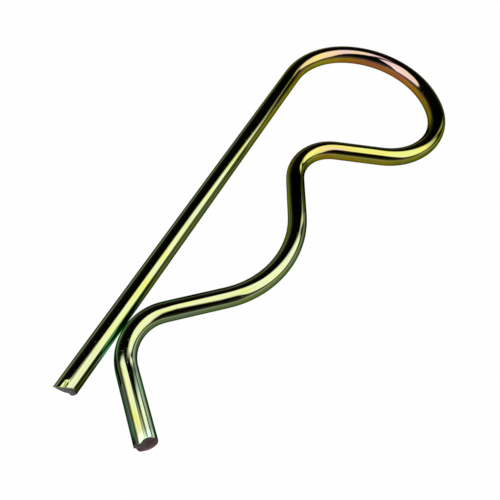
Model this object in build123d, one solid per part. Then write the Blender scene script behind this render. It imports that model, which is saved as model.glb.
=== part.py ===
from build123d import *
from math import cos, radians, sin, tan
import os

# Hitch R clip: one length of round spring wire, bent flat and sheared at both ends.
# It lies on a surface at Z = 0. X runs along the straight leg towards its free end,
# and Y from the straight leg towards the shaped one. The origin is under the middle.
# Lengths are in millimetres and angles in degrees. Bend radii are the centreline's.

# Wire
wire_d = 4.0

# Straight leg: it goes through the cross hole of a shaft
leg_length = 87.5

# Bow, the finger loop: three arcs that run into one another
bow_entry_r = 16.5
bow_entry_turn = 60.0
bow_crown_r = 20.0
bow_crown_turn = 87.0
bow_return_r = 13.75

# Neck, which snaps over the shaft: its bend, and the gap it leaves to the leg
shank_angle = 68.0
neck_r = 8.5
neck_gap = 9.5

# Seat, the arch that holds the shaft: its bend, and its clear height over the leg
riser_angle = 28.5
seat_r = 19.2
seat_clear = 17.3

# Toe, which all but touches the leg and flares out to lead the shaft in
ramp_angle = 46.0
toe_r = 8.4
toe_gap = 0.55
flare_angle = 48.5
flare_length = 12.4

# Sheared ends: how far each cut leans inwards or tilts up, and the rounding of its rim
leg_shear_lean = 12.5
leg_shear_tilt = 6.5
toe_shear_tilt = 22.0
rim_r = 0.3


def drop(radius, angle):
    """How far a bend of this radius carries the wire sideways as it turns by the angle."""
    return radius * (1 - cos(radians(angle)))


def straight_run(fall, angle):
    """Length of a straight run that leans by the angle and falls by this much."""
    return fall / sin(radians(angle))


def onward(stretch, length):
    """A straight run that carries on from the end of a stretch."""
    return Line(stretch @ 1, stretch @ 1 + (stretch % 1) * length)


def bend(stretch, radius, turn):
    """A bend that carries on from the end of a stretch. A turn to the left is positive."""
    return JernArc(stretch @ 1, stretch % 1, radius, turn)


def section(stretch):
    """The round section of the wire at the start of a stretch."""
    return Plane(origin=stretch @ 0, z_dir=stretch % 0) * Circle(wire_d / 2)


def rod(stretch):
    """Wire along a straight run."""
    return extrude(section(stretch), amount=stretch.length)


def elbow(arc, turn):
    """Wire round a bend."""
    return revolve(section(arc), axis=Axis(arc.center_point, (0, 0, 1)), revolution_arc=turn)


def sheared_rod(stretch, lean):
    """Wire along a straight run, with its far end cut by a plane and the rim rounded.

    The lean is a vector that tips the cut's normal away from the run's own direction.
    """
    uncut = extrude(section(stretch), amount=stretch.length + wire_d)
    cut = Plane(origin=stretch @ 1, z_dir=stretch % 1 + lean)
    rod_left = split(uncut, bisect_by=cut, keep=Keep.BOTTOM)
    rim = rod_left.faces().sort_by_distance(stretch @ 1)[0].edges()
    return fillet(rim, radius=rim_r)


# Heights of the centreline over the leg's, where each bend comes nearest or farthest
neck_height = wire_d + neck_gap
seat_height = wire_d + seat_clear
toe_height = wire_d + toe_gap

# Centreline, from the end of the leg round the bow and along the shaped side
leg = Line((leg_length, 0), (0, 0))
entry = bend(leg, bow_entry_r, -bow_entry_turn)
crown = bend(entry, bow_crown_r, -bow_crown_turn)
return_turn = 180 + shank_angle - bow_entry_turn - bow_crown_turn
back = bend(crown, bow_return_r, -return_turn)

shank_fall = (back @ 1).Y - neck_height - drop(neck_r, shank_angle)
shank = onward(back, straight_run(shank_fall, shank_angle))
neck_turn = shank_angle + riser_angle
neck = bend(shank, neck_r, neck_turn)

riser_fall = seat_height - neck_height - drop(neck_r + seat_r, riser_angle)
riser = onward(neck, straight_run(riser_fall, riser_angle))
seat_turn = riser_angle + ramp_angle
seat = bend(riser, seat_r, -seat_turn)

ramp_fall = seat_height - toe_height - drop(seat_r + toe_r, ramp_angle)
ramp = onward(seat, straight_run(ramp_fall, ramp_angle))
toe_turn = ramp_angle + flare_angle
toe = bend(ramp, toe_r, toe_turn)
flare = onward(toe, flare_length)

# Solid wire. Both cuts leave the under side longer, and the leg's its outer side too
leg_out = Line(leg @ 1, leg @ 0)
leg_lean = Vector(0, tan(radians(leg_shear_lean)), tan(radians(leg_shear_tilt)))
toe_lean = Vector(0, 0, tan(radians(toe_shear_tilt)))
wire = sheared_rod(leg_out, leg_lean)
wire += elbow(entry, -bow_entry_turn)
wire += elbow(crown, -bow_crown_turn)
wire += elbow(back, -return_turn)
wire += rod(shank)
wire += elbow(neck, neck_turn)
wire += rod(riser)
wire += elbow(seat, -seat_turn)
wire += rod(ramp)
wire += elbow(toe, toe_turn)
wire += sheared_rod(flare, toe_lean)

# The clip lies flat, with the origin under the middle of its box
box = wire.bounding_box()
clip = Pos(-box.center().X, -box.center().Y, -box.min.Z) * wire

os.makedirs("parts", exist_ok=True)
export_step(clip, "parts/r_clip.step")
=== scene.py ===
"""Dresses the hitch R clip: one round spring wire, bent flat, sheared at both ends and zinc plated.

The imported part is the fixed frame. The wire is worked out here again as a fine surface, with eased bends,
sheared ends and a plated skin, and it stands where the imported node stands. Lengths are in metres.
"""

import logging
from dataclasses import dataclass
from enum import Enum
from math import cos, pi, radians, sin, tan

import bpy
import numpy as np
from mathutils import Matrix, Vector


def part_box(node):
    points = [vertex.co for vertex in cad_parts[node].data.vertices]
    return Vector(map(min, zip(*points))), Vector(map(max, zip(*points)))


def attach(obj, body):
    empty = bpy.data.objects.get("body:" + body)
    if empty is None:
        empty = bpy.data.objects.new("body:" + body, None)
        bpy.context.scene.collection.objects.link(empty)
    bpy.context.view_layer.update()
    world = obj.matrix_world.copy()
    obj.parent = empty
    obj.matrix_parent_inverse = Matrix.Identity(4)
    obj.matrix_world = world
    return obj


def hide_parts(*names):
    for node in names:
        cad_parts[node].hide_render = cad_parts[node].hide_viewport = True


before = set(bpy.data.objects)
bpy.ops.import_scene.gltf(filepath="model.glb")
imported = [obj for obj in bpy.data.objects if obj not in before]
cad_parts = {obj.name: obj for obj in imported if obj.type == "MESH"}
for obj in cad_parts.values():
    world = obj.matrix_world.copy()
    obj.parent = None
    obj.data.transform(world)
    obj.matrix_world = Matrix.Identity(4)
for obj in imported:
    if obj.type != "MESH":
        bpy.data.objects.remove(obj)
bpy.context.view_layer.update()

MM = 0.001
NODE = "r_clip"
BODY = "root"
SLOT = "plated_wire"

# Values that the wire's mesh carries for its finishes: its unrolled places, and its film with the painted
# light and shade laid over it
PLACE = "unrolled"
FILM_AND_LIGHT = "film_and_light"

# Angles and headings are in degrees. From its free end the leg heads towards -X
HALF_TURN = 180.0
LEG_HEADING = HALF_TURN

# The way up, and how strong the finer layers of a noise are
UP = Vector((0.0, 0.0, 1.0))
NOISE_FINENESS = 0.55

log = logging.getLogger("hitch_clip")

Triple = tuple[float, float, float]
Colour = Triple
Stop = tuple[float, Colour]
Socket = bpy.types.NodeSocket
Feed = Socket | float | tuple[float, ...] | Vector


class Stretch(Enum):
    """The stretches of the wire, in order from the free end of the leg."""

    LEG = 0
    ENTRY = 1
    CROWN = 2
    BACK = 3
    SHANK = 4
    NECK = 5
    RISER = 6
    SEAT = 7
    RAMP = 8
    TOE = 9
    FLARE = 10


class Skin(Enum):
    """The finishes on the wire, as the material slots of its mesh."""

    PLATED = 0
    LEG_FACE = 1
    TOE_FACE = 2


def rise(radius: float, start: float, end: float) -> float:
    """How far a right-hand bend lifts the wire between two headings.

    Args:
        radius: the bend's radius.
        start: heading in degrees where the bend begins.
        end: heading in degrees where the bend ends.

    Returns:
        The change of height across the clip.
    """
    return radius * (cos(radians(end)) - cos(radians(start)))


def drop(radius: float, angle: float) -> float:
    """How far a bend of this radius carries the wire sideways as it turns by the angle."""
    return radius * (1 - cos(radians(angle)))


def straight_run(fall: float, angle: float) -> float:
    """Length of a straight run that leans by the angle and falls by this much."""
    return fall / sin(radians(angle))


def fade(values: np.ndarray, reach: float) -> np.ndarray:
    """An S-shaped fall from 1 at nought to 0 at the reach: three times the square less twice the cube."""
    share = np.clip(1.0 - values / reach, 0.0, 1.0)
    return share * share * (3.0 - 2.0 * share)


def bell(angles: np.ndarray, centre: float | np.ndarray, width: float) -> np.ndarray:
    """A bell curve of height 1 over angles in degrees, wrapped round the wire."""
    away = (angles - centre + HALF_TURN) % (2 * HALF_TURN) - HALF_TURN
    return np.exp(-0.5 * (away / width) ** 2)


def around(angles: np.ndarray) -> tuple[np.ndarray, np.ndarray]:
    """How much of a radius goes up and how much to the right, at angles round the wire in degrees."""
    return np.cos(np.radians(angles)), np.sin(np.radians(angles))


@dataclass(frozen=True)
class Mark:
    """A value at a share of the way along one stretch of the wire."""

    stretch: Stretch
    share: float
    value: float


Marks = tuple[Mark, ...]


def marks(**stretches: list[tuple[float, float]]) -> Marks:
    """Marks along the wire.

    Args:
        stretches: by a stretch's name, pairs of a share of the way along it and the value there.

    Returns:
        The marks, in the order given.
    """
    return tuple(
        Mark(Stretch[name.upper()], share, value)
        for name, pairs in stretches.items()
        for share, value in pairs
    )


@dataclass(frozen=True)
class Surface:
    """The wire's skin and cut faces as one grid: rows run along the wire and columns round it.

    The unrolled places are in millimetres: up, to the right, and along from the leg's end. Rows hold each
    row's length along the wire, angles each column's place round it, and forward the way each row runs.
    """

    points: np.ndarray
    unrolled: np.ndarray
    skins: np.ndarray
    rows: np.ndarray
    angles: np.ndarray
    forward: np.ndarray


@dataclass(frozen=True)
class DrawnLine:
    """A faint line that drawing and bending left along the wire, where its skin faces off true.

    Its turn about the wire's own run and its place round the wire are marked along the wire, in degrees.
    """

    turn: Marks
    place: Marks
    width: float


@dataclass(frozen=True)
class Centreline:
    """Points along the middle of the wire, with the way it runs and the way to its right."""

    along: np.ndarray
    points: np.ndarray
    forward: np.ndarray
    right: np.ndarray

    def at(self, stations: np.ndarray) -> tuple[np.ndarray, np.ndarray, np.ndarray]:
        """Reads the line at some lengths along it.

        Args:
            stations: lengths from the leg's end.

        Returns:
            Places, ways forward and ways to the right, one row for each station.
        """
        def read(values: np.ndarray) -> np.ndarray:
            """One column at a time, between the points that were walked."""
            return np.stack([np.interp(stations, self.along, column) for column in values.T], axis=-1)

        return read(self.points), read(self.forward), read(self.right)


@dataclass(frozen=True)
class ShearedEnd:
    """One sheared end: how its cut leans, how its rim is rolled and what the cutter left there.

    Angles are round the wire, in degrees: 0 is on top and 90 is towards the inside of the clip. A tooth of
    the rim is an angle, a width and how far it stands out past the cut.
    """

    face: Skin
    lean: float
    tilt: float
    teeth: tuple[Triple, ...]
    rim_small: float
    rim_large: float
    rolled_towards: float
    roll_width: float
    relief: float
    seed: int
    ridges: int = 9

    # A facet that the cutter pressed: how steep and long it is, and between which angles it lies
    pinch_slope: float = 0.0
    pinch_length: float = 0.0
    pinch_from: float = 0.0
    pinch_to: float = 0.0
    pinch_edge: float = 4.0

    # The rings lean over to the cut this far from it. Powers say how fast the rim's teeth die away
    # across the face, and how late the torn relief does towards the rim
    lean_reach: float = 5.0 * MM
    teeth_power: int = 5
    relief_power: int = 4
    rim_rings: int = 8
    face_rings: int = 14

    def slant(self, angles: np.ndarray, radius: float) -> np.ndarray:
        """The slanted plane of the cut, which leans inwards and tilts up.

        Args:
            angles: angles round the wire, in degrees.
            radius: distance from the middle.

        Returns:
            How far each point stands out past the middle of the cut.
        """
        up, right = around(angles)
        return -radius * (tan(radians(self.lean)) * right + tan(radians(self.tilt)) * up)

    def edge(self, angles: np.ndarray, radius: float) -> np.ndarray:
        """How far the rim stands out past the middle of the cut: the slant with its teeth on top."""
        teeth = sum(height * bell(angles, at, width) for at, width, height in self.teeth)
        return self.slant(angles, radius) + teeth

    def rim(self, angles: np.ndarray) -> np.ndarray:
        """Radius of the rolled edge: large where the cutter went in, small where it came out."""
        rolled = bell(angles, self.rolled_towards, self.roll_width)
        return self.rim_small + (self.rim_large - self.rim_small) * rolled

    def pinch(self, angles: np.ndarray, away: np.ndarray) -> np.ndarray:
        """How deep the cutter pressed a flat facet: a straight slope down to the end, with steep sides.

        Args:
            angles: angles round the wire, in degrees.
            away: distances from the end, as a column.

        Returns:
            The depth over the grid.
        """
        slope = self.pinch_slope * np.clip(self.pinch_length - away, 0.0, None)
        outer_side = fade(self.pinch_from - angles, self.pinch_edge)
        inner_side = fade(angles - self.pinch_to, self.pinch_edge)
        return slope * outer_side * inner_side

    def torn(self, x: np.ndarray, y: np.ndarray, radius: float) -> np.ndarray:
        """Relief of the torn face: a few waves of unlike lengths and directions, added up.

        Args:
            x: places up across the face.
            y: places to the right across it.
            radius: the wire's radius, which the longest wave spans.

        Returns:
            The height at each place.
        """
        draws = np.random.default_rng(self.seed)
        height = np.zeros_like(x)
        for ridge in range(1, self.ridges + 1):
            turn, phase = draws.uniform(0.0, 2.0 * pi, 2)
            wave = (x * cos(turn) + y * sin(turn)) * ridge * pi / radius
            height += np.sin(wave + phase) / ridge
        return self.relief * height


@dataclass
class ClipWire:
    """The whole clip: one wire bent flat, with its form, its mesh and its finishes."""

    # Wire and straight leg
    wire_d: float = 4.0 * MM
    leg_length: float = 87.5 * MM

    # Bow: three arcs that run into one another
    bow_entry_r: float = 16.5 * MM
    bow_entry_turn: float = 60.0
    bow_crown_r: float = 19.985 * MM
    bow_crown_turn: float = 87.0
    bow_return_r: float = 13.75 * MM

    # Neck
    shank_angle: float = 68.0
    neck_r: float = 8.5 * MM
    neck_gap: float = 9.5 * MM

    # Seat
    riser_angle: float = 28.5
    seat_r: float = 19.2 * MM
    seat_clear: float = 17.3 * MM

    # Toe
    ramp_angle: float = 46.5
    toe_r: float = 7.99 * MM
    toe_gap: float = 0.15 * MM
    flare_angle: float = 49.3
    flare_length: float = 12.7 * MM

    # Springy wire eases in and out of each bend over about this length, and wholly within so many of them
    bend_ease: float = 0.6 * MM
    ease_spans: float = 4.0
    walk_step: float = 0.02 * MM

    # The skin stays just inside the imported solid
    skin_r: float = 1.995 * MM

    # Drawn lines: one above the brightest streak, one below it, and a broad one on the flare
    upper_line: DrawnLine = DrawnLine(
        turn=marks(
            leg=[
                (0.0, -11.0), (0.18, -9.5), (0.37, -5.5), (0.46, -3.5), (0.6, -4.0), (0.8, -8.0),
                (0.95, 0.0),
            ],
            back=[(0.55, 0.0), (0.9, -9.0)],
            shank=[(0.2, -12.0), (0.9, -12.0)],
            neck=[(0.15, -8.0), (0.4, -4.0), (0.75, -4.0), (1.0, 0.0)],
            seat=[(0.25, -3.0), (0.7, -3.0), (0.92, -11.0)],
            ramp=[(0.8, -9.0)],
            toe=[(0.1, -3.0), (0.4, 6.0), (0.72, 12.0), (1.0, -2.0)],
            flare=[(0.4, -9.0)],
        ),
        place=marks(
            leg=[(0.0, 12.0), (0.27, 14.0), (0.46, 18.0), (0.8, 34.0)],
            back=[(0.6, -8.0)],
            shank=[(0.0, -2.0), (1.0, -2.0)],
            neck=[(0.75, -17.0)],
            seat=[(0.25, -14.0), (0.92, 2.0)],
            ramp=[(0.8, 1.0)],
            toe=[(0.4, -8.0)],
            flare=[(0.1, -22.0)],
        ),
        width=9.0,
    )
    lower_line: DrawnLine = DrawnLine(
        turn=marks(
            back=[(0.4, 0.0), (0.6, -7.0)],
            shank=[(0.2, -2.0)],
            neck=[(0.1, 0.0), (0.4, -7.0), (0.75, -3.0)],
            seat=[(0.3, -2.0), (0.85, -6.0), (0.93, -11.0)],
            ramp=[(0.1, -4.0), (0.8, -6.0)],
            toe=[(0.1, 3.0), (0.4, -4.0), (0.7, 0.0)],
        ),
        place=marks(
            back=[(0.6, -46.0)],
            shank=[(0.5, -35.0)],
            neck=[(0.4, -48.0), (0.75, -34.0)],
            seat=[(0.25, -35.0), (0.85, -40.0), (0.93, -28.0)],
            ramp=[(0.8, -20.0)],
            toe=[(0.2, -37.0)],
        ),
        width=9.0,
    )
    flare_line: DrawnLine = DrawnLine(
        turn=marks(toe=[(0.75, 0.0), (1.0, 12.0)]),
        place=marks(toe=[(1.0, 10.0)]),
        width=22.0,
    )

    # Mesh: gaps between the rings, which close up near the ends, and points round the wire
    ring_gap: float = 0.32 * MM
    end_gap: float = 0.04 * MM
    end_reach: float = 4.0 * MM
    round_points: int = 96

    leg_end: ShearedEnd = ShearedEnd(
        Skin.LEG_FACE, lean=12.5, tilt=6.5,
        teeth=(
            (-38.0, 22.0, 0.40 * MM),
            (58.0, 22.0, -0.32 * MM),
            (150.0, 14.0, 0.18 * MM),
            (178.0, 6.0, -0.10 * MM),
        ),
        rim_small=0.04 * MM, rim_large=0.22 * MM, rolled_towards=75.0, roll_width=30.0,
        relief=0.05 * MM, seed=5,
        pinch_slope=0.24, pinch_length=1.3 * MM, pinch_from=-2.0, pinch_to=8.5,
    )
    toe_end: ShearedEnd = ShearedEnd(
        Skin.TOE_FACE, lean=0.5, tilt=20.0,
        teeth=((20.0, 15.0, 0.48 * MM), (110.0, 9.0, -0.42 * MM), (136.0, 8.0, 0.06 * MM)),
        rim_small=0.05 * MM, rim_large=0.12 * MM, rolled_towards=-60.0, roll_width=40.0,
        relief=0.06 * MM, seed=9,
    )

    def stretches(self) -> list[tuple[Stretch, float, float]]:
        """The wire's stretches in order.

        Returns:
            For each stretch its name, its length and its curvature. A left turn is positive.
        """
        neck_height = self.wire_d + self.neck_gap
        seat_height = self.wire_d + self.seat_clear
        toe_height = self.wire_d + self.toe_gap
        entry_end = LEG_HEADING - self.bow_entry_turn
        crown_end = entry_end - self.bow_crown_turn
        return_end = -self.shank_angle
        bow_height = rise(self.bow_entry_r, LEG_HEADING, entry_end)
        bow_height += rise(self.bow_crown_r, entry_end, crown_end)
        bow_height += rise(self.bow_return_r, crown_end, return_end)
        shank_fall = bow_height - neck_height - drop(self.neck_r, self.shank_angle)
        riser_fall = seat_height - neck_height - drop(self.neck_r + self.seat_r, self.riser_angle)
        ramp_fall = seat_height - toe_height - drop(self.seat_r + self.toe_r, self.ramp_angle)

        def bend(name: Stretch, radius: float, turn: float) -> tuple[Stretch, float, float]:
            """A bend of this radius. A left turn, in degrees, is positive."""
            return name, radius * radians(abs(turn)), np.sign(turn) / radius

        return [
            (Stretch.LEG, self.leg_length, 0.0),
            bend(Stretch.ENTRY, self.bow_entry_r, -self.bow_entry_turn),
            bend(Stretch.CROWN, self.bow_crown_r, -self.bow_crown_turn),
            bend(Stretch.BACK, self.bow_return_r, return_end - crown_end),
            (Stretch.SHANK, straight_run(shank_fall, self.shank_angle), 0.0),
            bend(Stretch.NECK, self.neck_r, self.shank_angle + self.riser_angle),
            (Stretch.RISER, straight_run(riser_fall, self.riser_angle), 0.0),
            bend(Stretch.SEAT, self.seat_r, -self.riser_angle - self.ramp_angle),
            (Stretch.RAMP, straight_run(ramp_fall, self.ramp_angle), 0.0),
            bend(Stretch.TOE, self.toe_r, self.ramp_angle + self.flare_angle),
            (Stretch.FLARE, self.flare_length, 0.0),
        ]

    @property
    def length(self) -> float:
        """The wire's length, end to end."""
        return sum(length for _, length, _ in self.stretches())

    def station(self, stretch: Stretch, share: float) -> float:
        """Length along the wire from the leg's end to a share of the way along a stretch."""
        lengths = [length for _, length, _ in self.stretches()]
        return sum(lengths[:stretch.value]) + share * lengths[stretch.value]

    def read(self, given: Marks, stations: np.ndarray) -> np.ndarray:
        """Values between marks along the wire, as a column with one row for each station."""
        places = [self.station(mark.stretch, mark.share) for mark in given]
        return np.interp(stations, places, [mark.value for mark in given])[:, None]

    def turned(self, stations: np.ndarray, angles: np.ndarray) -> np.ndarray:
        """How far the skin faces off true, in degrees: the drawn lines' bells, added up.

        Args:
            stations: the rows' lengths from the leg's end.
            angles: the columns' angles round the wire, in degrees.

        Returns:
            The turn over the grid.
        """
        lines = (self.upper_line, self.lower_line, self.flare_line)
        return sum(
            self.read(line.turn, stations) * bell(angles, self.read(line.place, stations), line.width)
            for line in lines
        )

    def ring_stations(self) -> np.ndarray:
        """Where the rings stand: evenly, but ever closer over the last few millimetres at each end.

        Returns:
            Lengths from the leg's end.
        """
        fine = np.linspace(0.0, self.length, int(self.length / self.walk_step))
        nearest = np.minimum(fine, self.length - fine)
        gaps = self.ring_gap + (self.end_gap - self.ring_gap) * fade(nearest, self.end_reach)
        count = np.cumsum(1.0 / gaps) - 1.0 / gaps[0]
        return np.interp(np.linspace(0.0, count[-1], int(count[-1] * fine[1])), count, fine)

    def centreline(self) -> Centreline:
        """Walks the wire: curvature, smoothed by a bell curve, adds up to heading, and heading to place.

        Returns:
            The centreline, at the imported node's own place.
        """
        lengths = np.array([length for _, length, _ in self.stretches()])
        curvatures = np.array([curvature for _, _, curvature in self.stretches()])
        along = np.linspace(0.0, self.length, int(round(self.length / self.walk_step)) + 1)
        step = along[1]
        inside = np.searchsorted(np.cumsum(lengths), along[:-1] + step / 2)
        reach = int(self.ease_spans * self.bend_ease / step)
        kernel = np.exp(-0.5 * (np.arange(-reach, reach + 1) * step / self.bend_ease) ** 2)
        curvature = np.convolve(curvatures[inside], kernel / kernel.sum(), mode="same")
        heading = radians(LEG_HEADING) + np.concatenate([[0.0], np.cumsum(curvature) * step])
        flat = np.zeros_like(heading)
        forward = np.stack([np.cos(heading), np.sin(heading), flat], axis=1)
        right = np.stack([np.sin(heading), -np.cos(heading), flat], axis=1)
        moves = step * (forward[1:] + forward[:-1]) / 2
        points = np.concatenate([np.zeros((1, 3)), np.cumsum(moves, axis=0)])
        low, high = (np.array(corner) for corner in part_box(NODE))
        bow_x = low[0] + self.wire_d / 2 - points[:, 0].min()
        leg_y = low[1] + self.wire_d / 2 - points[0, 1]
        shift = np.array([bow_x, leg_y, (low[2] + high[2]) / 2])
        return Centreline(along, points + shift, forward, right)

    def surface(self) -> Surface:
        """The wire's skin and both cut faces as one grid.

        A point of the skin is the centreline's place at its station plus the radius times the cosine of
        its angle upwards and the sine to the right. Near an end the rings lean over to follow the cut, then
        run round a rolled rim and across the face to a pole.

        Returns:
            The grid, with the finish of each row.
        """
        angles = np.linspace(-HALF_TURN, HALF_TURN, self.round_points, endpoint=False)
        stations = self.ring_stations()
        outward = np.zeros((len(stations), self.round_points))
        radial = np.full(outward.shape, self.skin_r)
        for end, away, sense in self.ends(stations):
            lean = fade(away, end.lean_reach)[:, None]
            outward += sense * lean * (end.edge(angles, self.skin_r) - end.rim(angles))
            radial -= end.pinch(angles, away[:, None])
        leg_cap = self.cap(self.leg_end, angles, radial[0])
        toe_cap = self.cap(self.toe_end, angles, radial[-1])
        leg_rows = np.zeros(len(leg_cap[0]))
        toe_rows = np.full(len(toe_cap[0]), self.length)
        rows = np.concatenate([leg_rows, stations, toe_rows])
        outward = np.concatenate([-leg_cap[0][::-1], outward, toe_cap[0]])
        radial = np.concatenate([leg_cap[1][::-1], radial, toe_cap[1]])
        plated = np.full(len(stations), Skin.PLATED.value)
        skins = np.concatenate([leg_cap[2][::-1], plated, toe_cap[2]])

        place, forward, right = (row[:, None, :] for row in self.centreline().at(rows))
        up, side = (radial * part for part in around(angles))
        points = place + outward[..., None] * forward + side[..., None] * right
        points[..., 2] += up
        unrolled = np.stack([up, side, rows[:, None] + outward], axis=-1) / MM
        return Surface(points, unrolled, skins, rows, angles, forward[:, 0])

    def ends(self, stations: np.ndarray) -> list[tuple[ShearedEnd, np.ndarray, float]]:
        """Both ends, each with the rings' distances from it and its way out along the wire."""
        return [
            (self.leg_end, stations, -1.0),
            (self.toe_end, self.length - stations, 1.0),
        ]

    def cap(
        self, end: ShearedEnd, angles: np.ndarray, radial: np.ndarray
    ) -> tuple[np.ndarray, np.ndarray, np.ndarray]:
        """Rings over one end: a quarter round for the rim, then ever smaller rings over the torn face.

        Args:
            end: the end's form.
            angles: the columns' angles round the wire, in degrees.
            radial: the last ring's radius in each column.

        Returns:
            How far out each point lies along the wire, its radius, and each ring's finish.
        """
        rim = end.rim(angles)
        edge = end.edge(angles, self.skin_r)
        quarter = (np.linspace(0.0, pi / 2, end.rim_rings + 1)[1:])[:, None]
        rim_out = edge - rim * (1.0 - np.sin(quarter))
        rim_radial = radial - rim * (1.0 - np.cos(quarter))
        inwards = np.linspace(1.0, 0.0, end.face_rings + 1)[1:, None]
        face_radial = (radial - rim) * inwards
        x, y = (face_radial * part for part in around(angles))
        slant = end.slant(angles, self.skin_r)
        face_out = slant * inwards + (edge - slant) * inwards ** end.teeth_power
        face_out = face_out + end.torn(x, y, self.skin_r) * (1.0 - inwards ** end.relief_power)
        out = np.concatenate([rim_out, face_out])
        radii = np.concatenate([rim_radial, face_radial])
        skins = np.full(len(out), end.face.value)
        skins[:end.rim_rings] = Skin.PLATED.value
        return out, radii, skins

    def build(self, finish: "PlatedSkin") -> bpy.types.Object:
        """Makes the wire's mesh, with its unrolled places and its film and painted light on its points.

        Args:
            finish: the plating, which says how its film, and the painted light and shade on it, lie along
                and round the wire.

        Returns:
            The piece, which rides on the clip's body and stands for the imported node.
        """
        surface = self.surface()
        rows, columns = surface.points.shape[:2]

        def poled(grid: np.ndarray) -> np.ndarray:
            """A list of points. The first and last rings have no size, so each is one point: a pole."""
            return np.concatenate([grid[0, :1], grid[1:-1].reshape(-1, grid.shape[2]), grid[-1, :1]])

        vertices = poled(surface.points)
        grid = 1 + np.arange((rows - 2) * columns).reshape(rows - 2, columns)
        after = np.roll(grid, -1, axis=1)
        quads = np.stack([grid[:-1], after[:-1], after[1:], grid[1:]], axis=-1).reshape(-1, 4)
        last = len(vertices) - 1
        first_fan = np.stack([np.zeros(columns, int), after[0], grid[0]], axis=-1)
        last_fan = np.stack([grid[-1], after[-1], np.full(columns, last)], axis=-1)
        mesh = bpy.data.meshes.new(NODE + "_wire")
        faces = quads.tolist() + first_fan.tolist() + last_fan.tolist()
        mesh.from_pydata(vertices.tolist(), [], faces)
        quad_skins = np.repeat(np.maximum(surface.skins[1:-2], surface.skins[2:-1]), columns)
        fan_skins = np.repeat(surface.skins[[0, -1]], columns)
        skins = np.concatenate([quad_skins, fan_skins]).astype(np.int32)
        mesh.polygons.foreach_set("material_index", skins)
        mesh.polygons.foreach_set("use_smooth", np.ones(len(faces), bool))
        film_and_light = finish.film_and_light(self, surface.rows, surface.angles)
        for name, values in ((PLACE, surface.unrolled), (FILM_AND_LIGHT, film_and_light)):
            attribute = mesh.attributes.new(name, "FLOAT_VECTOR", "POINT")
            attribute.data.foreach_set("vector", poled(values).astype(np.float32).ravel())
        mesh.update()
        plated = (surface.skins == Skin.PLATED.value)[:, None]
        turns = self.turned(surface.rows, surface.angles) * plated
        runs = np.broadcast_to(surface.forward[:, None, :], surface.points.shape)
        self.face(mesh, poled(np.radians(turns)[..., None]), poled(runs))
        piece = bpy.data.objects.new("clip_wire", mesh)
        bpy.context.scene.collection.objects.link(piece)
        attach(piece, BODY)
        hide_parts(NODE)
        return piece

    def face(self, mesh: bpy.types.Mesh, turns: np.ndarray, runs: np.ndarray) -> None:
        """Turns the mesh's normals a little about the wire's own run, to shade the drawn lines.

        A normal turned by an angle is its cosine part plus the sine of the angle times the way round.

        Args:
            mesh: the wire's mesh.
            turns: each point's turn, in radians.
            runs: the way the wire runs at each point.
        """
        normals = np.empty(len(turns) * 3, np.float32)
        mesh.vertex_normals.foreach_get("vector", normals)
        normals = normals.reshape(-1, 3)
        turned = np.cos(turns) * normals + np.sin(turns) * np.cross(runs, normals)
        turned += (1.0 - np.cos(turns)) * np.sum(runs * normals, axis=1, keepdims=True) * runs
        mesh.normals_split_custom_set_from_vertices(turned.tolist())

    def dress(self, piece: bpy.types.Object, finish: "PlatedSkin") -> None:
        """Puts the plated finish on the skin and a torn finish on each cut face.

        Args:
            piece: the wire's piece.
            finish: the plating.
        """
        finishes = {Skin.PLATED: finish, Skin.LEG_FACE: LEG_TEAR, Skin.TOE_FACE: TOE_TEAR}
        for skin in Skin:
            piece.data.materials.append(finishes[skin].material())


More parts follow.
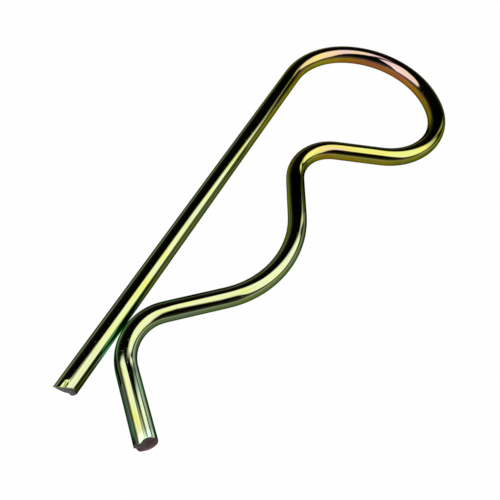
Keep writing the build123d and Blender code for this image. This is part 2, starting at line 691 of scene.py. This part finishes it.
class Graph:
    """Adds nodes to a node tree and links them."""

    def __init__(self, tree: bpy.types.NodeTree) -> None:
        """Keeps the tree."""
        self.tree = tree

    def add(
        self, kind: str, inputs: dict[str | int, Feed] | None = None, **settings: object
    ) -> bpy.types.Node:
        """Adds one node.

        Args:
            kind: the node's type.
            inputs: values or sockets for its inputs, by name or number.
            settings: its other properties.

        Returns:
            The node.
        """
        node = self.tree.nodes.new(kind)
        for name, value in settings.items():
            setattr(node, name, value)
        for name, value in (inputs or {}).items():
            self.feed(node.inputs[name], value)
        return node

    def feed(self, socket: Socket, value: Feed) -> None:
        """Links a socket to an input, or sets the input to a plain value.

        Args:
            socket: the input.
            value: the socket or the value.
        """
        if isinstance(value, Socket):
            self.tree.links.new(value, socket)
        else:
            socket.default_value = value

    def math(self, operation: str, *values: Feed, clamp: bool = False) -> Socket:
        """A Math node of this operation over values or sockets."""
        node = self.add("ShaderNodeMath", dict(enumerate(values)), operation=operation, use_clamp=clamp)
        return node.outputs[0]

    def blend(self, share: Feed, first: Feed, second: Feed, kind: str = "MIX") -> Socket:
        """Mixes two colours.

        Args:
            share: how much of the second goes in, from 0 to 1.
            first: the first colour.
            second: the second colour.
            kind: how they are mixed.

        Returns:
            The mixed colour.
        """
        node = self.add("ShaderNodeMix", data_type="RGBA", blend_type=kind)
        for name, value in zip(("Factor_Float", "A_Color", "B_Color"), (share, first, second)):
            socket = next(s for s in node.inputs if s.identifier == name)
            self.feed(socket, (*value, 1.0) if isinstance(value, tuple) else value)
        return next(s for s in node.outputs if s.identifier == "Result_Color")

    def ease(
        self, value: Feed, low: float, high: float, to_low: float = 0.0, to_high: float = 1.0
    ) -> Socket:
        """A value eased from one range to another, and held at its ends."""
        ranges = {"Value": value, "From Min": low, "From Max": high, "To Min": to_low, "To Max": to_high}
        return self.add("ShaderNodeMapRange", ranges, interpolation_type="SMOOTHSTEP").outputs["Result"]

    def ramp(self, value: Feed, stops: tuple[Stop, ...], interpolation: str = "CARDINAL") -> Socket:
        """A colour ramp over listed stops.

        Args:
            value: where to read it, from 0 to 1.
            stops: its places and colours.
            interpolation: how it runs between them.

        Returns:
            The colour there.
        """
        node = self.add("ShaderNodeValToRGB", {"Fac": value})
        node.color_ramp.interpolation = interpolation
        elements = node.color_ramp.elements
        elements.remove(elements[1])
        elements[0].position, elements[0].color = stops[0][0], (*stops[0][1], 1.0)
        for position, colour in stops[1:]:
            elements.new(position).color = (*colour, 1.0)
        return node.outputs["Color"]

    def noise(self, place: Socket, size: Triple, detail: float, offset: float = 0.0) -> Socket:
        """Noise whose grains have these sizes along the three axes of a place.

        Args:
            place: the socket to read, in the units of the sizes.
            size: one grain's size along each axis.
            detail: how many finer layers it has.
            offset: moves the pattern, so that two of them differ.

        Returns:
            The noise, from 0 to 1.
        """
        scale = tuple(1.0 / length for length in size)
        mapped = self.add("ShaderNodeMapping", {"Vector": place, "Scale": scale, "Location": (offset,) * 3})
        inputs = {"Vector": mapped.outputs[0], "Scale": 1.0, "Detail": detail, "Roughness": NOISE_FINENESS}
        return self.add("ShaderNodeTexNoise", inputs).outputs["Fac"]

    def split(self, place: Socket) -> tuple[Socket, ...]:
        """The three parts of a vector."""
        return tuple(self.add("ShaderNodeSeparateXYZ", {0: place}).outputs)

    def bump(self, height: Socket, depth: float) -> Socket:
        """A normal bumped by a height from 0 to 1, this deep."""
        inputs = {"Strength": 1.0, "Distance": depth, "Height": height}
        return self.add("ShaderNodeBump", inputs).outputs["Normal"]


@dataclass(frozen=True)
class MetalGrain:
    """Blotches, drawn lines and specks, for every bare or plated surface of the wire.

    A size is one grain's upwards, to the right and along the wire, in millimetres.
    """

    name: str = "metal_grain"
    blotch_size: Triple = (0.7, 0.7, 3.5)
    blotch_detail: float = 3.0
    line_size: Triple = (0.14, 0.14, 9.0)
    line_offset: float = 7.0
    speck_size: Triple = (0.22, 0.22, 0.5)
    speck_offset: float = 3.0
    speck_from: float = 0.62
    speck_to: float = 0.74
    fine_detail: float = 2.0

    def group(self) -> bpy.types.NodeTree:
        """The grain's node group, made once.

        Returns:
            A group that takes a place and gives each kind of grain there, from 0 to 1.
        """
        if self.name in bpy.data.node_groups:
            return bpy.data.node_groups[self.name]
        tree = bpy.data.node_groups.new(self.name, "ShaderNodeTree")
        tree.interface.new_socket("Place", in_out="INPUT", socket_type="NodeSocketVector")
        for kind in ("Blotch", "Lines", "Speck"):
            tree.interface.new_socket(kind, in_out="OUTPUT", socket_type="NodeSocketFloat")
        graph = Graph(tree)
        place = graph.add("NodeGroupInput").outputs["Place"]
        speck = graph.noise(place, self.speck_size, self.fine_detail, self.speck_offset)
        graph.add("NodeGroupOutput", {
            "Blotch": graph.noise(place, self.blotch_size, self.blotch_detail),
            "Lines": graph.noise(place, self.line_size, self.fine_detail, self.line_offset),
            "Speck": graph.ease(speck, self.speck_from, self.speck_to),
        })
        return tree


class Metal:
    """A material that has been started for the wire: its shader, the unrolled place and the grain there."""

    def __init__(self, name: str) -> None:
        """Makes the material and the nodes that every metal here begins with.

        Args:
            name: the material's name.
        """
        self.material = bpy.data.materials.new(name)
        self.material.use_nodes = True
        self.graph = Graph(self.material.node_tree)
        self.shader = self.material.node_tree.nodes["Principled BSDF"]
        self.place = self.attribute(PLACE)
        grain = self.graph.add("ShaderNodeGroup", node_tree=MetalGrain().group())
        self.graph.feed(grain.inputs["Place"], self.place)
        self.grain = grain.outputs

    def attribute(self, name: str) -> Socket:
        """One of the vectors that the wire's mesh carries."""
        return self.graph.add("ShaderNodeAttribute", attribute_name=name).outputs["Vector"]

    def set(self, name: str, value: Feed) -> None:
        """Links one of the shader's inputs, or sets it."""
        self.graph.feed(self.shader.inputs[name], value)


@dataclass(frozen=True)
class PlatedSkin:
    """Yellow passivated zinc: bright metal under a thin film whose colour drifts along and round the wire.

    The film's grade says how far it has grown, from teal, 0, to pink, 1. Its crest, the band along the top
    where the lights' highlights run, gets paler colours as a painted highlight, and its flanks deeper,
    darker colours, partly the film's own hue and partly painted shade. A painted tone darkens it further in
    places as painted shade, and lightens it in a few as painted highlights and reflections.
    """

    # Film colours by grade, on the crest of the wire and on its flanks. The crest's are paler, as a painted
    # highlight, and the flanks' are darker, as painted shade, though their deeper hues are the film's own
    lit_crest: tuple[Stop, ...] = (
        (0.0, (0.34, 0.49, 0.34)),
        (0.25, (0.42, 0.49, 0.30)),
        (0.42, (0.46, 0.49, 0.24)),
        (0.52, (0.455, 0.49, 0.15)),
        (0.6, (0.49, 0.48, 0.11)),
        (0.72, (0.50, 0.42, 0.13)),
        (0.84, (0.50, 0.37, 0.22)),
        (0.93, (0.50, 0.36, 0.31)),
        (1.0, (0.48, 0.31, 0.31)),
    )
    shaded_flank: tuple[Stop, ...] = (
        (0.0, (0.055, 0.20, 0.085)),
        (0.13, (0.085, 0.115, 0.085)),
        (0.27, (0.09, 0.14, 0.055)),
        (0.42, (0.11, 0.135, 0.03)),
        (0.57, (0.145, 0.15, 0.02)),
        (0.7, (0.20, 0.165, 0.012)),
        (0.8, (0.215, 0.135, 0.006)),
        (0.9, (0.25, 0.095, 0.012)),
        (1.0, (0.24, 0.075, 0.03)),
    )

    # The crest's line, which follows where the lights' highlights run, leans over to one side or the other
    # of the top, in degrees
    crest_lean: Marks = marks(
        leg=[(1.0, 10.0)],
        entry=[(0.3, 17.0), (1.0, 25.0)],
        crown=[(0.4, 26.0), (1.0, 18.0)],
        back=[(0.5, -4.0), (1.0, -20.0)],
        neck=[(0.1, -20.0), (1.0, 4.0)],
        seat=[(0.1, 3.0), (1.0, -10.0)],
        toe=[(0.4, -10.0), (1.0, -13.0)],
    )
    crest_grade: Marks = marks(
        leg=[(0.0, 0.36), (0.12, 0.44), (0.22, 0.52), (0.35, 0.42), (0.5, 0.36), (0.7, 0.45), (0.9, 0.58)],
        entry=[(0.2, 0.76), (0.6, 0.78), (0.95, 0.88)],
        crown=[(0.35, 0.98), (0.65, 0.92), (0.9, 0.80)],
        back=[(0.3, 0.60), (0.9, 0.56)],
        shank=[(0.5, 0.62), (1.0, 0.76)],
        neck=[(0.2, 0.74), (0.5, 0.60)],
        riser=[(0.8, 0.45)],
        seat=[(0.35, 0.32), (0.9, 0.40)],
        ramp=[(0.6, 0.42)],
        toe=[(0.3, 0.42), (0.8, 0.30)],
        flare=[(0.3, 0.24), (0.65, 0.38), (0.85, 0.26), (0.97, 0.10)],
    )

    # How much further the film has grown on the inner half of the crest than on its outer half
    crest_slope: Marks = marks(toe=[(0.7, 0.0)], flare=[(0.1, 0.26)])
    inner_grade: Marks = marks(
        # Near the leg's free end, where its inner flank faces the toe, a teal grade paints the toe's green
        # reflection
        leg=[
            (0.0, 0.62), (0.05, 0.40), (0.1, 0.02), (0.15, 0.05), (0.22, 0.38), (0.6, 0.40), (0.85, 0.64),
        ],
        entry=[(0.5, 0.66)],
        crown=[(0.05, 0.86), (0.3, 1.0), (0.55, 0.93), (0.85, 0.80)],
        back=[(0.2, 0.64)],
        neck=[(0.5, 0.66), (0.9, 0.56)],
        riser=[(0.3, 0.54)],
        seat=[(0.3, 0.42)],
        ramp=[(0.3, 0.35), (0.8, 0.05)],
        toe=[(0.7, 0.0)],
        flare=[(0.2, 0.12)],
    )
    outer_grade: Marks = marks(
        leg=[(0.0, 0.42), (0.03, 0.34), (0.07, 0.14), (0.7, 0.14), (0.85, 0.30)],
        entry=[(0.2, 0.45)],
        back=[(0.1, 0.40), (0.8, 0.58)],
        shank=[(0.5, 0.70)],
        neck=[(0.1, 0.76), (0.7, 0.58)],
        riser=[(0.5, 0.45)],
        seat=[(0.3, 0.25), (0.8, 0.33)],
        toe=[(0.3, 0.22)],
        flare=[(0.3, 0.10), (0.85, 0.14)],
    )

    # Painted light and shade: how much lighter or darker the film is drawn than its colours above, on the
    # crest, the inner flank and the outer flank. Below 1 it paints shade: flanks that mirror the floor in
    # the wire's own shadow, and stretches of the crest darkened where a highlight would run too far. Above 1
    # it paints highlights and reflections.
    crest_painted_light: Marks = marks(
        leg=[(0.7, 1.0), (0.78, 0.7), (0.86, 0.35), (0.97, 0.15)],
        entry=[(0.15, 1.0)],
        crown=[(0.9, 1.0)],
        back=[(0.1, 0.2), (0.42, 0.35), (0.6, 1.0)],
        neck=[(0.8, 1.0)],
        riser=[(0.0, 0.25), (0.8, 0.4)],
        seat=[(0.2, 1.0)],
        # The flare's very end is lighter still: a painted whitish highlight
        flare=[(0.88, 1.0), (0.97, 1.6)],
    )
    inner_painted_light: Marks = marks(
        # The bright stops near the leg's free end paint the toe's green reflection on the leg's inner flank
        leg=[
            (0.0, 0.25), (0.06, 0.55), (0.1, 2.0), (0.15, 1.5), (0.2, 0.6), (0.3, 0.9), (0.6, 0.95),
            (0.95, 1.3),
        ],
        entry=[(0.7, 1.3)],
        crown=[(0.2, 1.1), (0.65, 1.3), (0.95, 1.0)],
        back=[(0.2, 1.0), (0.45, 0.12)],
        neck=[(0.4, 0.15), (0.7, 0.9), (1.0, 1.6)],
        seat=[(0.1, 1.2), (0.7, 0.7)],
        ramp=[(0.1, 0.3), (0.6, 0.3)],
        toe=[(0.1, 2.0), (0.6, 2.0)],
        flare=[(0.1, 0.8), (0.85, 0.8), (0.97, 0.35)],
    )
    outer_painted_light: Marks = marks(
        leg=[(0.0, 1.5), (0.06, 0.85), (0.7, 0.8), (0.9, 1.5)],
        entry=[(0.1, 1.3), (0.6, 0.7)],
        crown=[(0.1, 0.3), (0.6, 0.12)],
        back=[(0.0, 0.6), (0.3, 1.4), (0.8, 1.0)],
        neck=[(0.6, 1.0)],
        riser=[(0.2, 0.25)],
        seat=[(0.1, 0.6), (0.35, 1.2)],
        toe=[(0.4, 1.1), (0.9, 0.8)],
        flare=[(0.5, 0.75), (0.85, 0.7), (0.97, 0.4)],
    )

    # Where the flanks' darker colours, partly painted shade, begin, in degrees from the crest's line, and
    # how far one flank's values reach past that line towards the other, as a sine
    flank_start: float = 38.0
    flank_width: float = 14.0
    flank_overlap: float = 0.4

    # How far the grade drifts in blotches, how rough the skin and its specks are, and its drawn lines:
    # how deep they are, how far they darken the film and over which part of their grain
    drift: float = 0.34
    roughness: float = 0.05
    scuff: float = 0.2
    line_depth: float = 0.002 * MM
    brushed: float = 0.8
    brushed_from: float = 0.4
    brushed_to: float = 0.7

    # Painted shade behind the leg's cut, along the wire and round it: a dark band near the top that narrows
    # the leg's highlight there
    leg_cut_shade: float = 0.95
    leg_cut_shade_from: float = 2.2 * MM
    leg_cut_shade_to: float = 7.0 * MM
    leg_cut_shade_edge: float = 1.5 * MM
    leg_cut_shade_at: float = 6.0
    leg_cut_shade_width: float = 6.0

    # The facet that the cutter pressed there is yellower
    pressed_grade: float = 0.28
    pressed_reach: float = 2.0 * MM
    pressed_at: float = 3.0
    pressed_width: float = 6.0

    # Reflection at a glancing angle, where the film darkens the metal
    glance: Colour = (0.22, 0.25, 0.18)

    def film_and_light(self, wire: ClipWire, stations: np.ndarray, angles: np.ndarray) -> np.ndarray:
        """How the film lies on the wire.

        The flank's share grows with the angle from the crest's line, by an S-shaped step. Grade and tone,
        the tone being painted light and shade, are read along the wire for the crest and for both flanks,
        and mixed by that share.

        Args:
            wire: the wire that it lies on.
            stations: the rows' lengths from the leg's end.
            angles: the columns' angles round the wire, in degrees.

        Returns:
            For each point its film's grade, its flank's share and its painted tone of light and shade.
        """
        # The flank's share: how far the darker flank colours, partly painted shade, take over from the paler
        # crest
        away = angles - wire.read(self.crest_lean, stations)
        share = 1.0 - fade(np.abs(away) - self.flank_start, self.flank_width)
        inner = fade(self.flank_overlap - np.sin(np.radians(away)), 2 * self.flank_overlap)

        def mixed(lit_crest: Marks, inside: Marks, outside: Marks) -> np.ndarray:
            """One value over the grid, from its values on the crest and on both flanks."""
            top, near, far = (wire.read(given, stations) for given in (lit_crest, inside, outside))
            return top + (far + (near - far) * inner - top) * share

        grade = mixed(self.crest_grade, self.inner_grade, self.outer_grade)

        # The inner half of the crest lies above its own grade, and the outer half as far below
        grade += wire.read(self.crest_slope, stations) * (inner - 0.5) * (1.0 - share)
        # Painted light and shade, for the crest and both flanks
        painted_tone = mixed(self.crest_painted_light, self.inner_painted_light, self.outer_painted_light)
        # Painted shade: a dark band along the top just behind the leg's cut
        leg_cut_shaded = fade(self.leg_cut_shade_from - stations, self.leg_cut_shade_edge)
        leg_cut_shaded = leg_cut_shaded * fade(stations - self.leg_cut_shade_to, self.leg_cut_shade_edge)
        leg_cut_shaded = leg_cut_shaded[:, None] * bell(angles, self.leg_cut_shade_at, self.leg_cut_shade_width)
        pressed = fade(stations, self.pressed_reach)[:, None]
        pressed = pressed * bell(angles, self.pressed_at, self.pressed_width)
        grade = grade + self.pressed_grade * pressed
        return np.stack([grade, share, painted_tone * (1.0 - self.leg_cut_shade * leg_cut_shaded)], axis=-1)

    def material(self) -> bpy.types.Material:
        """The plated skin's material.

        Returns:
            The material.
        """
        metal = Metal(SLOT)
        graph, grain = metal.graph, metal.grain
        grade, share, painted_tone = graph.split(metal.attribute(FILM_AND_LIGHT))
        drift = graph.math("MULTIPLY_ADD", grain["Blotch"], 2 * self.drift, -self.drift)
        grade = graph.math("ADD", grade, drift, clamp=True)
        # Paler crest colours and darker flank colours: a painted highlight and painted shade over the film's
        # own hues
        film_and_light = graph.blend(share, graph.ramp(grade, self.lit_crest), graph.ramp(grade, self.shaded_flank))
        brushed = graph.ease(grain["Lines"], self.brushed_from, self.brushed_to, 1.0, self.brushed)
        # The painted tone of light and shade, darkened a little more along the drawn lines
        painted_tone = graph.math("MULTIPLY", painted_tone, brushed)
        # The film's colours times its painted light and shade
        metal.set("Base Color", graph.blend(1.0, film_and_light, painted_tone, "MULTIPLY"))
        metal.set("Metallic", 1.0)
        metal.set("Specular Tint", (*self.glance, 1.0))
        metal.set("Roughness", graph.math("MULTIPLY_ADD", grain["Speck"], self.scuff, self.roughness))
        metal.set("Normal", graph.bump(grain["Lines"], self.line_depth))
        return metal.material


@dataclass(frozen=True)
class TornFace:
    """The cut face of the wire: torn steel under a trace of film, with a lip along its under side.

    The lip comes in between two heights over the middle of the wire, in millimetres.
    """

    name: str
    dark: Colour
    light: Colour
    lip: Colour
    blotch_from: float = 0.35
    blotch_to: float = 0.65
    lip_from: float = -0.7
    lip_to: float = -1.6
    metallic: float = 0.8
    roughness: float = 0.5
    grain_depth: float = 0.03 * MM

    def material(self) -> bpy.types.Material:
        """The cut face's material.

        Returns:
            The material.
        """
        metal = Metal(self.name)
        graph, grain = metal.graph, metal.grain
        up = graph.split(metal.place)[0]
        blotch = graph.ease(grain["Blotch"], self.blotch_from, self.blotch_to)
        steel = graph.blend(blotch, self.dark, self.light)
        steel = graph.blend(graph.ease(up, self.lip_from, self.lip_to), steel, self.lip)
        metal.set("Base Color", steel)
        metal.set("Metallic", self.metallic)
        metal.set("Roughness", self.roughness)
        metal.set("Normal", graph.bump(grain["Speck"], self.grain_depth))
        return metal.material


LEG_TEAR = TornFace(
    "torn_leg",
    dark=(0.006, 0.012, 0.006), light=(0.055, 0.062, 0.044), lip=(0.016, 0.034, 0.016),
)
TOE_TEAR = TornFace(
    "torn_toe",
    dark=(0.03, 0.012, 0.014), light=(0.06, 0.03, 0.034), lip=(0.12, 0.036, 0.024),
)


@dataclass(frozen=True)
class Camera:
    """The camera: where it aims on the floor, and how far, how high and how turned it stands."""

    aim: Triple = (12.30 * MM, -4.755 * MM, 0.0)
    distance: float = 93.55 * MM
    azimuth: float = 21.97
    elevation: float = 62.37
    roll: float = 7.32
    lens: float = 33.0
    sensor: float = 36.0
    clip_near: float = 5.0 * MM
    clip_far: float = 50.0

    def build(self) -> bpy.types.Object:
        """Makes the camera and gives it to the scene.

        Returns:
            The camera.
        """
        data = bpy.data.cameras.new("camera")
        data.lens = self.lens
        data.sensor_width = self.sensor
        data.clip_start = self.clip_near
        data.clip_end = self.clip_far
        back = bearing(self.azimuth, self.elevation)
        level = UP.cross(back).normalized()
        upright = back.cross(level)
        roll = radians(self.roll)
        right = cos(roll) * level + sin(roll) * upright
        up = back.cross(right)
        camera = bpy.data.objects.new("camera", data)
        camera.matrix_world = placed(right, up, back, Vector(self.aim) + self.distance * back)
        bpy.context.scene.collection.objects.link(camera)
        bpy.context.scene.camera = camera
        return camera


def bearing(azimuth: float, elevation: float) -> Vector:
    """The way towards a point seen at this azimuth from +X and this elevation, in degrees."""
    level = cos(radians(elevation))
    return Vector((level * cos(radians(azimuth)), level * sin(radians(azimuth)), sin(radians(elevation))))


def placed(x: Vector, y: Vector, z: Vector, place: Vector) -> Matrix:
    """A matrix with three axes at a place.

    Args:
        x: the first axis.
        y: the second axis.
        z: the third axis.
        place: where it stands.

    Returns:
        The matrix.
    """
    matrix = Matrix((x, y, z)).transposed().to_4x4()
    matrix.translation = place
    return matrix


@dataclass(frozen=True)
class SkyPatch:
    """One large soft light far from the clip: a patch of the room's sky with straight edges.

    Each edge is the way to it from the patch's middle, the angle out to it and its softness, in degrees.
    A way of 0 is level, towards a greater azimuth, and 90 is up.
    """

    azimuth: float
    elevation: float
    brightness: float
    edges: tuple[Triple, ...]

    def light(self, graph: Graph, way: Socket) -> Socket:
        """How bright the patch is, looking one way.

        An edge is a plane through the clip. A look that lies inside all the planes sees the patch in full,
        and each plane fades it out over its own softness.

        Args:
            graph: the room's nodes.
            way: the socket with the way of looking.

        Returns:
            The socket with the brightness.
        """
        middle = bearing(self.azimuth, self.elevation)
        across = UP.cross(middle).normalized()
        upwards = middle.cross(across)
        level = self.brightness
        for turn, reach, softness in self.edges:
            outwards = cos(radians(turn)) * across + sin(radians(turn)) * upwards
            inside = sin(radians(reach)) * middle - cos(radians(reach)) * outwards
            depth = graph.add("ShaderNodeVectorMath", {0: way, 1: inside}, operation="DOT_PRODUCT")
            fall = sin(radians(softness))
            level = graph.math("MULTIPLY", graph.ease(depth.outputs["Value"], -fall, fall), level)
        return level


@dataclass(frozen=True)
class Studio:
    """A pale floor, and a dark room with a pale horizon and three soft lights."""

    # Floor: half its side, the share of plain white that is seen of it, and its own colour
    floor_half: float = 2.0
    floor_glow: float = 0.98
    floor_white: Colour = (1.0, 1.0, 1.0)
    floor_colour: Colour = (0.9, 0.9, 0.9)

    # Room's grey by the sine of the elevation
    room: tuple[tuple[float, float], ...] = (
        (0.0, 0.96),
        (0.03, 0.6),
        (0.07, 0.34),
        (0.13, 0.16),
        (0.22, 0.06),
        (0.34, 0.02),
        (0.55, 0.004),
        (1.0, 0.002),
    )

    # Lights, which come in between two elevations, in degrees
    lights_from: float = 13.0
    lights_full: float = 17.5
    side_light: SkyPatch = SkyPatch(90.5, 47.5, 2.0, (
        (30.0, 37.0, 6.0),
        (131.5, 38.5, 2.0),
        (183.5, 21.5, 5.0),
        (234.0, 29.5, 6.0),
        (300.0, 35.5, 4.0),
        (358.0, 41.5, 3.5),
    ))
    end_light: SkyPatch = SkyPatch(314.0, 49.0, 2.0, (
        (0.0, 22.5, 2.5),
        (21.5, 24.0, 2.5),
        (66.0, 27.0, 3.0),
        (171.0, 22.0, 2.0),
        (184.0, 19.5, 2.5),
        (240.0, 26.5, 9.0),
    ))
    low_light: SkyPatch = SkyPatch(150.0, 24.0, 2.0, (
        (0.0, 4.0, 2.5),
        (180.0, 4.5, 2.5),
        (90.0, 15.0, 6.0),
        (270.0, 15.0, 5.0),
    ))

    def build_floor(self) -> bpy.types.Object:
        """Makes the floor that the clip lies on.

        Returns:
            The floor.
        """
        half = self.floor_half
        corners = [(-half, -half, 0.0), (half, -half, 0.0), (half, half, 0.0), (-half, half, 0.0)]
        mesh = bpy.data.meshes.new("floor")
        mesh.from_pydata(corners, [], [(0, 1, 2, 3)])
        floor = bpy.data.objects.new("floor", mesh)
        bpy.context.scene.collection.objects.link(floor)
        floor.data.materials.append(self.floor_material())
        return floor

    def floor_material(self) -> bpy.types.Material:
        """A pale floor that is seen, and mirrored, as white, and still takes a faint shadow.

        Returns:
            The material.
        """
        material = bpy.data.materials.new("pale_floor")
        material.use_nodes = True
        material.node_tree.nodes.clear()
        graph = Graph(material.node_tree)
        path = graph.add("ShaderNodeLightPath").outputs
        seen = graph.math("ADD", path["Is Camera Ray"], path["Is Glossy Ray"])
        seen = graph.math("ADD", seen, path["Is Transmission Ray"], clamp=True)
        glow = graph.add("ShaderNodeEmission", {"Color": (*self.floor_white, 1.0), "Strength": 1.0})
        matt = graph.add("ShaderNodeBsdfDiffuse", {"Color": (*self.floor_colour, 1.0)})
        share = graph.math("MULTIPLY", seen, self.floor_glow)
        both = graph.add("ShaderNodeMixShader", {0: share, 1: matt.outputs[0], 2: glow.outputs[0]})
        graph.add("ShaderNodeOutputMaterial", {"Surface": both.outputs[0]})
        return material

    def build_room(self) -> None:
        """Lights the room: pale at the horizon, dark overhead, with the soft lights on top."""
        world = bpy.data.worlds.new("room")
        world.use_nodes = True
        graph = Graph(world.node_tree)
        way = graph.add("ShaderNodeTexCoord").outputs["Generated"]
        height = graph.split(way)[2]
        lights = graph.math("ADD", self.side_light.light(graph, way), self.end_light.light(graph, way))
        lights = graph.math("ADD", lights, self.low_light.light(graph, way))
        clear = graph.ease(height, sin(radians(self.lights_from)), sin(radians(self.lights_full)))
        lights = graph.math("MULTIPLY", lights, clear)
        background = world.node_tree.nodes["Background"]
        greys = tuple((sine, (grey, grey, grey)) for sine, grey in self.room)
        room = graph.ramp(height, greys, "EASE")
        graph.feed(background.inputs["Color"], graph.blend(1.0, room, lights, "ADD"))
        bpy.context.scene.world = world

    def build(self) -> None:
        """Makes the floor, and the room with its lights."""
        self.build_floor()
        self.build_room()
        bpy.context.scene.view_settings.view_transform = "Standard"


def main() -> None:
    """Builds the clip, its finishes, the studio and the camera, in that order."""
    logging.basicConfig(level=logging.INFO, format="%(name)s: %(message)s")
    wire = ClipWire()
    plating = PlatedSkin()
    piece = wire.build(plating)
    wire.dress(piece, plating)
    log.info("%s: %d points, %.1f mm of wire", piece.name, len(piece.data.vertices), wire.length / MM)
    Studio().build()
    log.info("studio built")
    Camera().build()


if __name__ == "__main__":
    main()
